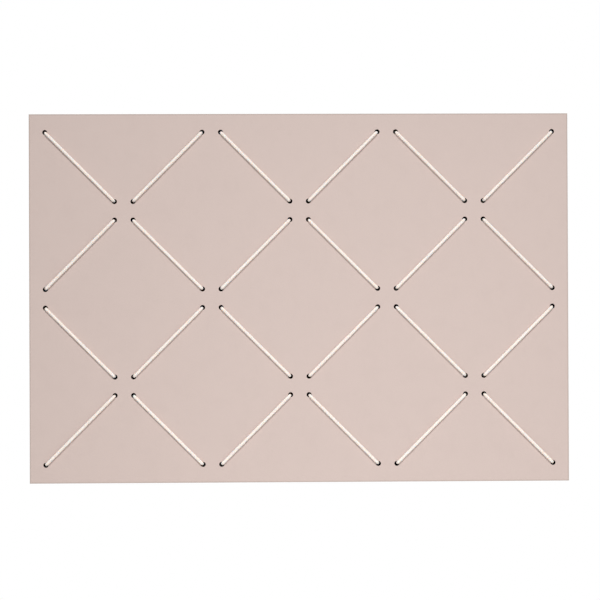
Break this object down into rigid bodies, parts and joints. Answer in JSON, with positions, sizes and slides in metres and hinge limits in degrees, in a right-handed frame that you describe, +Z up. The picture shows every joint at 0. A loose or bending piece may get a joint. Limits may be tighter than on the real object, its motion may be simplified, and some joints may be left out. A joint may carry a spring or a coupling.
{
  "type": "linoleum pin board",
  "caption": "Flat rectangular wall board faced with linoleum and laced with elastic cords in diamonds that hold cards and photos, hung on keyhole plates.",
  "frame": {"origin": "centre of the board's outline, on the wall plane that the bumpers touch", "axes": "+X to the right as seen from the front, +Y from the face to the wall, +Z up"},
  "size_m": [0.6, 0.0269, 0.41],
  "materials": {
    "linoleum": "matte",
    "fibreboard": "matte",
    "elastic_cord": "matte",
    "steel": "satin",
    "rubber": "matte"
  },
  "bodies": {
    "board": {"linoleum_face": "linoleum", "core_board": "fibreboard", "left_hanger_plate": "steel", "left_hanger_left_screw": "steel", "left_hanger_right_screw": "steel", "right_hanger_plate": "steel", "right_hanger_left_screw": "steel", "right_hanger_right_screw": "steel", "left_bumper": "rubber", "right_bumper": "rubber", "cord_a_start_knot": "elastic_cord", "cord_a_end_knot": "elastic_cord", "cord_a_rear_run_01": "elastic_cord", "cord_a_rear_run_02": "elastic_cord", "cord_a_rear_run_03": "elastic_cord", "cord_a_rear_run_04": "elastic_cord", "cord_a_rear_run_05": "elastic_cord", "cord_a_rear_run_06": "elastic_cord", "cord_a_rear_run_07": "elastic_cord", "cord_a_rear_run_08": "elastic_cord", "cord_a_rear_run_09": "elastic_cord", "cord_a_rear_run_10": "elastic_cord", "cord_a_rear_run_11": "elastic_cord", "cord_b_start_knot": "elastic_cord", "cord_b_end_knot": "elastic_cord", "cord_b_rear_run_01": "elastic_cord", "cord_b_rear_run_02": "elastic_cord", "cord_b_rear_run_03": "elastic_cord", "cord_b_rear_run_04": "elastic_cord", "cord_b_rear_run_05": "elastic_cord", "cord_b_rear_run_06": "elastic_cord", "cord_b_rear_run_07": "elastic_cord", "cord_b_rear_run_08": "elastic_cord", "cord_b_rear_run_09": "elastic_cord", "cord_b_rear_run_10": "elastic_cord", "cord_b_rear_run_11": "elastic_cord"},
    "cord_a_span_01": {"cord_a_span_01": "elastic_cord"},
    "cord_a_span_02": {"cord_a_span_02": "elastic_cord"},
    "cord_a_span_03": {"cord_a_span_03": "elastic_cord"},
    "cord_a_span_04": {"cord_a_span_04": "elastic_cord"},
    "cord_a_span_05": {"cord_a_span_05": "elastic_cord"},
    "cord_a_span_06": {"cord_a_span_06": "elastic_cord"},
    "cord_a_span_07": {"cord_a_span_07": "elastic_cord"},
    "cord_a_span_08": {"cord_a_span_08": "elastic_cord"},
    "cord_a_span_09": {"cord_a_span_09": "elastic_cord"},
    "cord_a_span_10": {"cord_a_span_10": "elastic_cord"},
    "cord_a_span_11": {"cord_a_span_11": "elastic_cord"},
    "cord_a_span_12": {"cord_a_span_12": "elastic_cord"},
    "cord_b_span_01": {"cord_b_span_01": "elastic_cord"},
    "cord_b_span_02": {"cord_b_span_02": "elastic_cord"},
    "cord_b_span_03": {"cord_b_span_03": "elastic_cord"},
    "cord_b_span_04": {"cord_b_span_04": "elastic_cord"},
    "cord_b_span_05": {"cord_b_span_05": "elastic_cord"},
    "cord_b_span_06": {"cord_b_span_06": "elastic_cord"},
    "cord_b_span_07": {"cord_b_span_07": "elastic_cord"},
    "cord_b_span_08": {"cord_b_span_08": "elastic_cord"},
    "cord_b_span_09": {"cord_b_span_09": "elastic_cord"},
    "cord_b_span_10": {"cord_b_span_10": "elastic_cord"},
    "cord_b_span_11": {"cord_b_span_11": "elastic_cord"},
    "cord_b_span_12": {"cord_b_span_12": "elastic_cord"}
  },
  "joints": [
    {"name": "cord_a_span_01_lift", "type": "slide", "parent": "board", "child": "cord_a_span_01", "axis": [0, -1, 0], "range_m": [0, 0.015], "stiffness_N_per_m": 100},
    {"name": "cord_a_span_02_lift", "type": "slide", "parent": "board", "child": "cord_a_span_02", "axis": [0, -1, 0], "range_m": [0, 0.015], "stiffness_N_per_m": 100},
    {"name": "cord_a_span_03_lift", "type": "slide", "parent": "board", "child": "cord_a_span_03", "axis": [0, -1, 0], "range_m": [0, 0.015], "stiffness_N_per_m": 100},
    {"name": "cord_a_span_04_lift", "type": "slide", "parent": "board", "child": "cord_a_span_04", "axis": [0, -1, 0], "range_m": [0, 0.015], "stiffness_N_per_m": 100},
    {"name": "cord_a_span_05_lift", "type": "slide", "parent": "board", "child": "cord_a_span_05", "axis": [0, -1, 0], "range_m": [0, 0.015], "stiffness_N_per_m": 100},
    {"name": "cord_a_span_06_lift", "type": "slide", "parent": "board", "child": "cord_a_span_06", "axis": [0, -1, 0], "range_m": [0, 0.015], "stiffness_N_per_m": 100},
    {"name": "cord_a_span_07_lift", "type": "slide", "parent": "board", "child": "cord_a_span_07", "axis": [0, -1, 0], "range_m": [0, 0.015], "stiffness_N_per_m": 100},
    {"name": "cord_a_span_08_lift", "type": "slide", "parent": "board", "child": "cord_a_span_08", "axis": [0, -1, 0], "range_m": [0, 0.015], "stiffness_N_per_m": 100},
    {"name": "cord_a_span_09_lift", "type": "slide", "parent": "board", "child": "cord_a_span_09", "axis": [0, -1, 0], "range_m": [0, 0.015], "stiffness_N_per_m": 100},
    {"name": "cord_a_span_10_lift", "type": "slide", "parent": "board", "child": "cord_a_span_10", "axis": [0, -1, 0], "range_m": [0, 0.015], "stiffness_N_per_m": 100},
    {"name": "cord_a_span_11_lift", "type": "slide", "parent": "board", "child": "cord_a_span_11", "axis": [0, -1, 0], "range_m": [0, 0.015], "stiffness_N_per_m": 100},
    {"name": "cord_a_span_12_lift", "type": "slide", "parent": "board", "child": "cord_a_span_12", "axis": [0, -1, 0], "range_m": [0, 0.015], "stiffness_N_per_m": 100},
    {"name": "cord_b_span_01_lift", "type": "slide", "parent": "board", "child": "cord_b_span_01", "axis": [0, -1, 0], "range_m": [0, 0.015], "stiffness_N_per_m": 100},
    {"name": "cord_b_span_02_lift", "type": "slide", "parent": "board", "child": "cord_b_span_02", "axis": [0, -1, 0], "range_m": [0, 0.015], "stiffness_N_per_m": 100},
    {"name": "cord_b_span_03_lift", "type": "slide", "parent": "board", "child": "cord_b_span_03", "axis": [0, -1, 0], "range_m": [0, 0.015], "stiffness_N_per_m": 100},
    {"name": "cord_b_span_04_lift", "type": "slide", "parent": "board", "child": "cord_b_span_04", "axis": [0, -1, 0], "range_m": [0, 0.015], "stiffness_N_per_m": 100},
    {"name": "cord_b_span_05_lift", "type": "slide", "parent": "board", "child": "cord_b_span_05", "axis": [0, -1, 0], "range_m": [0, 0.015], "stiffness_N_per_m": 100},
    {"name": "cord_b_span_06_lift", "type": "slide", "parent": "board", "child": "cord_b_span_06", "axis": [0, -1, 0], "range_m": [0, 0.015], "stiffness_N_per_m": 100},
    {"name": "cord_b_span_07_lift", "type": "slide", "parent": "board", "child": "cord_b_span_07", "axis": [0, -1, 0], "range_m": [0, 0.015], "stiffness_N_per_m": 100},
    {"name": "cord_b_span_08_lift", "type": "slide", "parent": "board", "child": "cord_b_span_08", "axis": [0, -1, 0], "range_m": [0, 0.015], "stiffness_N_per_m": 100},
    {"name": "cord_b_span_09_lift", "type": "slide", "parent": "board", "child": "cord_b_span_09", "axis": [0, -1, 0], "range_m": [0, 0.015], "stiffness_N_per_m": 100},
    {"name": "cord_b_span_10_lift", "type": "slide", "parent": "board", "child": "cord_b_span_10", "axis": [0, -1, 0], "range_m": [0, 0.015], "stiffness_N_per_m": 100},
    {"name": "cord_b_span_11_lift", "type": "slide", "parent": "board", "child": "cord_b_span_11", "axis": [0, -1, 0], "range_m": [0, 0.015], "stiffness_N_per_m": 100},
    {"name": "cord_b_span_12_lift", "type": "slide", "parent": "board", "child": "cord_b_span_12", "axis": [0, -1, 0], "range_m": [0, 0.015], "stiffness_N_per_m": 100}
  ]
}
